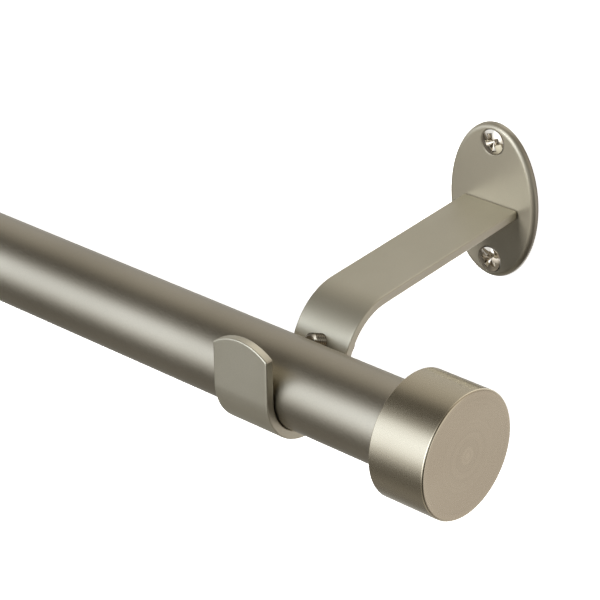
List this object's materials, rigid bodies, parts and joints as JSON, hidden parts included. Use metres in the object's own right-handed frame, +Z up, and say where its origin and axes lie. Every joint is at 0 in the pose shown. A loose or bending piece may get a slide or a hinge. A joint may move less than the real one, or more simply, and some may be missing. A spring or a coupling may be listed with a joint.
{
  "type": "curtain rod",
  "caption": "Adjustable telescoping round metal curtain rod with drum end caps, open-hook wall brackets on oval plates, and thumb screws that clamp the tubes.",
  "frame": {"origin": "centre of the right wall plate's back, on the wall, midway between its two screws", "axes": "+X along the rod towards the thick tube's capped end, +Y into the wall, +Z up"},
  "size_m": [0.711, 0.1464, 0.067],
  "materials": {
    "satin_nickel_tube": "satin nickel plate on drawn steel tube",
    "satin_nickel_turned_cap": "satin nickel colour on a turned aluminium drum, fine turning rings on the face",
    "satin_nickel_bar": "satin nickel plate on bent flat bar",
    "satin_nickel_plate": "satin nickel plate on pressed steel",
    "bright_nickel_screw": "bright nickel",
    "satin_nickel_thumb_screw": "satin nickel, straight knurl",
    "black_moulded_plastic": "moulded nylon",
    "pale_moulded_plastic": "moulded acetal, pale grey"
  },
  "bodies": {
    "fixed_side": {"outer_tube": "satin_nickel_tube", "outer_tube_mouth_bush": "pale_moulded_plastic", "right_bracket_arm": "satin_nickel_bar", "right_wall_plate": "satin_nickel_plate", "right_wall_screw_upper": "bright_nickel_screw", "right_wall_screw_lower": "bright_nickel_screw"},
    "sliding_side": {"inner_tube": "satin_nickel_tube", "inner_tube_glide": "black_moulded_plastic", "left_bracket_arm": "satin_nickel_bar", "left_wall_plate": "satin_nickel_plate", "left_wall_screw_upper": "bright_nickel_screw", "left_wall_screw_lower": "bright_nickel_screw"},
    "right_cap": {"right_end_cap": "satin_nickel_turned_cap", "right_cap_plug": "black_moulded_plastic"},
    "left_cap": {"left_end_cap": "satin_nickel_turned_cap", "left_cap_plug": "black_moulded_plastic"},
    "right_thumb_screw": {"right_set_screw": "satin_nickel_thumb_screw"},
    "left_thumb_screw": {"left_set_screw": "satin_nickel_thumb_screw"}
  },
  "joints": [
    {"name": "telescope", "type": "slide", "parent": "fixed_side", "child": "sliding_side", "axis": [-1, 0, 0], "range_m": [0, 0.508]},
    {"name": "right_cap_pull", "type": "slide", "parent": "fixed_side", "child": "right_cap", "axis": [1, 0, 0], "range_m": [0, 0.03]},
    {"name": "left_cap_pull", "type": "slide", "parent": "sliding_side", "child": "left_cap", "axis": [-1, 0, 0], "range_m": [0, 0.03]},
    {"name": "right_screw_travel", "type": "slide", "parent": "fixed_side", "child": "right_thumb_screw", "axis": [0, 0.9135, -0.4067], "range_m": [0, 0.006]},
    {"name": "left_screw_travel", "type": "slide", "parent": "sliding_side", "child": "left_thumb_screw", "axis": [0, 0.9135, -0.4067], "range_m": [0, 0.009]}
  ]
}
